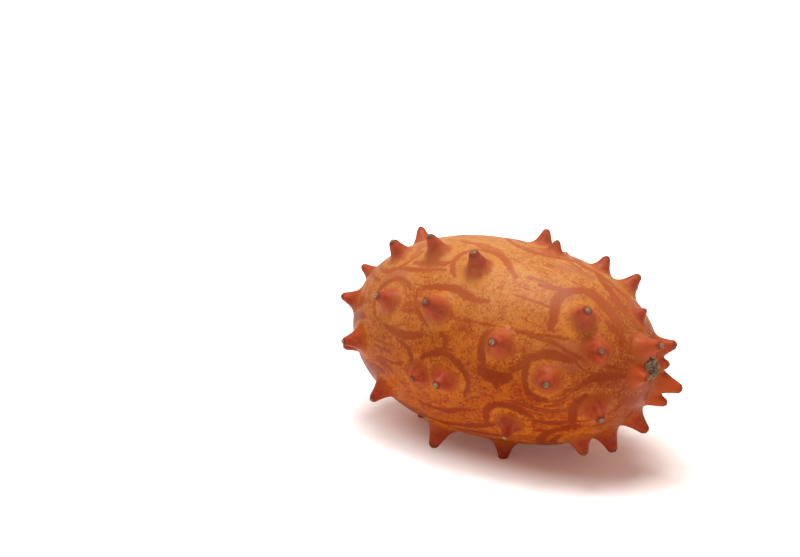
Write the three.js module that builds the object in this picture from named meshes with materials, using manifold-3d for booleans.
// A horned melon lying on its side: one smooth, slightly egg-shaped fruit whose rind rises
// into blunt, flare-footed horns, with a corky scar where its stalk broke away.
//
// Millimetres. +X runs along the fruit to the stalk scar and +Z is up. The origin is the
// middle of the fruit's own box, on the surface that the fruit lies on.

import * as THREE from "three";
import { mergeVertices } from "three/addons/utils/BufferGeometryUtils.js";
import Module from "manifold-3d";

const wasm = await Module();
wasm.setup();

// The body, without its horns: two half eggs that share their widest section.
const bodyRadius = 35;
const stalkHalfLength = 59; // widest section to the stalk end
const flowerHalfLength = 55; // widest section to the end that carried the flower
const fullness = 2.15; // 2 is an ellipse, and more is squarer at the shoulders
const bodyRings = 24;
const bodySides = 40;

// The fruit lies on its lowest horns, which are worn flat against the surface.
const axisHeight = 38.5;

// The outline of a horn of the usual height: [distance from its middle, height above the
// rind]. It starts inside the fruit, comes out through the rind in a wide flare, and rises
// as a cone to a small blunt tip.
const usualHeight = 7;
const hornOutline = [
  [0, -2.1],
  [6.6, -2.1],
  [7.6, -0.5],
  [5.6, 0.15],
  [4.1, 0.85],
  [2.95, 2.3],
  [1.45, 6.4],
  [1, 7],
  [0, 7],
];
const hornSides = 10;

// The scar is a low cork disc with a pit where the stalk's fibres tore out.
const scarRadius = 3.2;
const scarHeight = 0.8;
const scarPit = 1.1;
const scarRoot = 3;
const scarLift = 2; // the stalk joined a little above the fruit's axis
const scarSides = 16;

// Horns, one row for each rib of the fruit. Each horn is [along, around, height]: along is
// from the widest section to the stalk end, and around is in degrees from the top of the
// fruit down its front (-Y) side.
const hornRows = {
  flowerCrown: [[-51, 7, 5]],
  crown: [[-33, 21, 6], [-16, 22, 7.5], [3, 30, 7.5], [42, 39, 7.5], [57, 23, 7.5]],
  upperFront: [[-49, 60, 5.5], [-26, 59, 7], [-5, 59, 8.5], [20, 70, 8.5], [48, 60, 7]],
  front: [[-40, 92, 7], [-10, 98, 3.5], [1, 96, 6], [36, 86, 7.5], [58, 81, 4]],
  lowerFront: [[-51, 128, 5.5], [-29, 122, 7], [22, 122, 5.5], [49, 112, 7]],
  soleFront: [[-11, 149, 8], [10, 163, 7], [40, 154, 5.5]],
  sole: [[-49, 186, 6], [-30, 184, 9.5], [44, 178, 7], [52, 186, 7]],
  soleBack: [[-36, 222, 7], [-5, 208, 9], [26, 199, 10], [55, 214, 6.5]],
  lowerBack: [[-52, 248, 5.5], [-18, 243, 7.5], [11, 236, 8], [35, 238, 8], [57, 234, 9]],
  back: [[-36, 272, 7], [-4, 272, 7.5], [24, 267, 8], [46, 269, 7], [58, 272, 3.5]],
  upperBack: [[-47, 312, 6], [-20, 301, 7.5], [7, 301, 8], [34, 298, 7.5], [57, 303, 6]],
  crownBack: [[-37, 338, 6.5], [11, 340, 5.5], [19, 351, 4], [33, 336, 5], [42, 327, 6.5]],
  stalkCrown: [[52, 348, 3]],
};

// Radius of the body at a distance along from its widest section.
function bodyRadiusAt(along) {
  const halfLength = along > 0 ? stalkHalfLength : flowerHalfLength;
  const share = Math.min(1, Math.abs(along) / halfLength);
  return bodyRadius * (1 - share ** fullness) ** (1 / fullness);
}

// Where a horn stands on the rind, and which way it points, square to the rind.
function hornPlace(along, around) {
  const angle = THREE.MathUtils.degToRad(around);
  const step = 0.01;
  const slope = (bodyRadiusAt(along + step) - bodyRadiusAt(along - step)) / (2 * step);
  const outward = new THREE.Vector3(0, -Math.sin(angle), Math.cos(angle));
  const foot = outward.clone().multiplyScalar(bodyRadiusAt(along)).setX(along);
  const direction = outward.clone().setX(-slope).normalize();
  return { foot, direction };
}

// How far a point beside a horn's foot stands above the rind, measured along the horn.
function heightAboveRind(point, direction) {
  let outside = 0;
  let inside = bodyRadius / 2;
  for (let halving = 0; halving < 20; halving++) {
    const middle = (outside + inside) / 2;
    const { x, y, z } = point.clone().addScaledVector(direction, -middle);
    if (Math.hypot(y, z) < bodyRadiusAt(x)) {
      inside = middle;
    } else {
      outside = middle;
    }
  }
  return outside;
}

// A closed three.js geometry as a solid that can be joined and cut.
function toSolid(geometry) {
  const bare = geometry.clone();
  bare.deleteAttribute("normal");
  bare.deleteAttribute("uv");
  const merged = mergeVertices(bare, 1e-4);
  return new wasm.Manifold(
    new wasm.Mesh({
      numProp: 3,
      vertProperties: merged.attributes.position.array,
      triVerts: new Uint32Array(merged.index.array),
    }),
  );
}

function toGeometry(solid) {
  const { vertProperties, triVerts } = solid.getMesh();
  const geometry = new THREE.BufferGeometry();
  geometry.setAttribute("position", new THREE.BufferAttribute(vertProperties, 3));
  geometry.setIndex(new THREE.BufferAttribute(triVerts, 1));
  return geometry;
}

// The body's rings bunch towards its two ends, where the outline turns fastest.
function body() {
  const outline = [];
  for (let ring = 0; ring <= bodyRings; ring++) {
    const share = -Math.cos((Math.PI * ring) / bodyRings);
    const along = share * (share > 0 ? stalkHalfLength : flowerHalfLength);
    const onAxis = ring === 0 || ring === bodyRings;
    outline.push(new THREE.Vector2(onAxis ? 0 : bodyRadiusAt(along), along));
  }
  return toSolid(new THREE.LatheGeometry(outline, bodySides).rotateZ(-Math.PI / 2));
}

// A horn is turned about +Y, stood on the rind, and let down so that its foot hugs the curve.
// A tall horn is wider than a short one too, but by less than it is taller.
function horn([along, around, height]) {
  const taller = height / usualHeight;
  const wider = Math.sqrt(taller);
  const outline = hornOutline.map(([out, up]) => new THREE.Vector2(out * wider, up * taller));
  const geometry = new THREE.LatheGeometry(outline, hornSides);
  const { foot, direction } = hornPlace(along, around);
  const turn = new THREE.Quaternion().setFromUnitVectors(new THREE.Vector3(0, 1, 0), direction);
  const corners = geometry.attributes.position;
  const corner = new THREE.Vector3();
  for (let index = 0; index < corners.count; index++) {
    corner.fromBufferAttribute(corners, index);
    const rise = corner.y;
    corner.setY(0).applyQuaternion(turn).add(foot);
    corner.addScaledVector(direction, rise - heightAboveRind(corner, direction));
    corners.setXYZ(index, corner.x, corner.y, corner.z);
  }
  return toSolid(geometry);
}

function stalkScar() {
  const outline = [
    new THREE.Vector2(0, -scarRoot),
    new THREE.Vector2(scarRadius, -scarRoot),
    new THREE.Vector2(scarRadius, scarHeight * 0.5),
    new THREE.Vector2(scarRadius * 0.8, scarHeight),
    new THREE.Vector2(scarRadius * 0.45, scarHeight),
    new THREE.Vector2(0, scarHeight - scarPit),
  ];
  const geometry = new THREE.LatheGeometry(outline, scarSides).rotateZ(-Math.PI / 2);
  return toSolid(geometry.translate(stalkHalfLength, 0, scarLift));
}

// Everything under the surface that the fruit lies on.
function underSurface() {
  const size = 4 * stalkHalfLength;
  return toSolid(new THREE.BoxGeometry(size, size, size).translate(0, 0, -axisHeight - size / 2));
}

const horns = Object.values(hornRows).flat().map(horn);
const fruitSolid = [...horns, stalkScar()]
  .reduce((whole, piece) => whole.add(piece), body())
  .subtract(underSurface());

const rind = new THREE.MeshStandardMaterial({ color: 0xc86a2c, roughness: 0.45, metalness: 0 });
const fruit = new THREE.Mesh(toGeometry(fruitSolid), rind);
fruit.name = "fruit";
fruit.geometry.computeBoundingBox();
const middle = fruit.geometry.boundingBox.getCenter(new THREE.Vector3());
fruit.position.set(-middle.x, -middle.y, axisHeight);

const melon = new THREE.Group();
melon.add(fruit);

export default melon;
